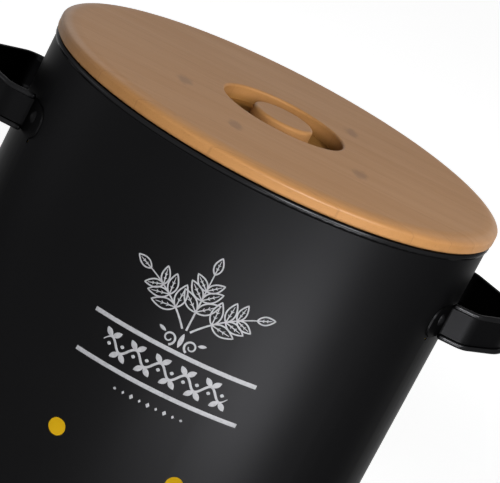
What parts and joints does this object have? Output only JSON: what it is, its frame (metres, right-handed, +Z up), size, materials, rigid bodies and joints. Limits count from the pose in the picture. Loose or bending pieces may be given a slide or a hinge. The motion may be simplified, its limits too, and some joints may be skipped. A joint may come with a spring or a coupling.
{
  "type": "vegetable storage bin",
  "caption": "Round black steel vegetable bin with a row of air vents, riveted strap handles and a lift-off bamboo lid with a finger groove.",
  "frame": {"origin": "on the floor at the centre of the bin", "axes": "+Z up; the decorated front faces -Y; the handles point along +X and -X"},
  "size_m": [0.3036, 0.24, 0.2201],
  "materials": {
    "black_coat": "satin powder coat",
    "zinc_steel": "plain zinc",
    "bamboo": "satin oiled bamboo",
    "silicone": "matt translucent white"
  },
  "bodies": {
    "bin": {"body_wall": "black_coat", "rim_wire": "zinc_steel", "bottom_panel": "black_coat", "left_handle_strap": "black_coat", "right_handle_strap": "black_coat", "rivet_left_front": "black_coat", "rivet_left_rear": "black_coat", "rivet_right_front": "black_coat", "rivet_right_rear": "black_coat", "washer_left_front": "zinc_steel", "washer_left_rear": "zinc_steel", "washer_right_front": "zinc_steel", "washer_right_rear": "zinc_steel"},
    "lid": {"lid_top_board": "bamboo", "lid_knob": "bamboo", "lid_under_board": "bamboo", "lid_seal_ring": "silicone"}
  },
  "joints": [
    {"name": "lid_lift", "type": "slide", "parent": "bin", "child": "lid", "axis": [0, 0, 1], "range_m": [0, 0.12]}
  ]
}
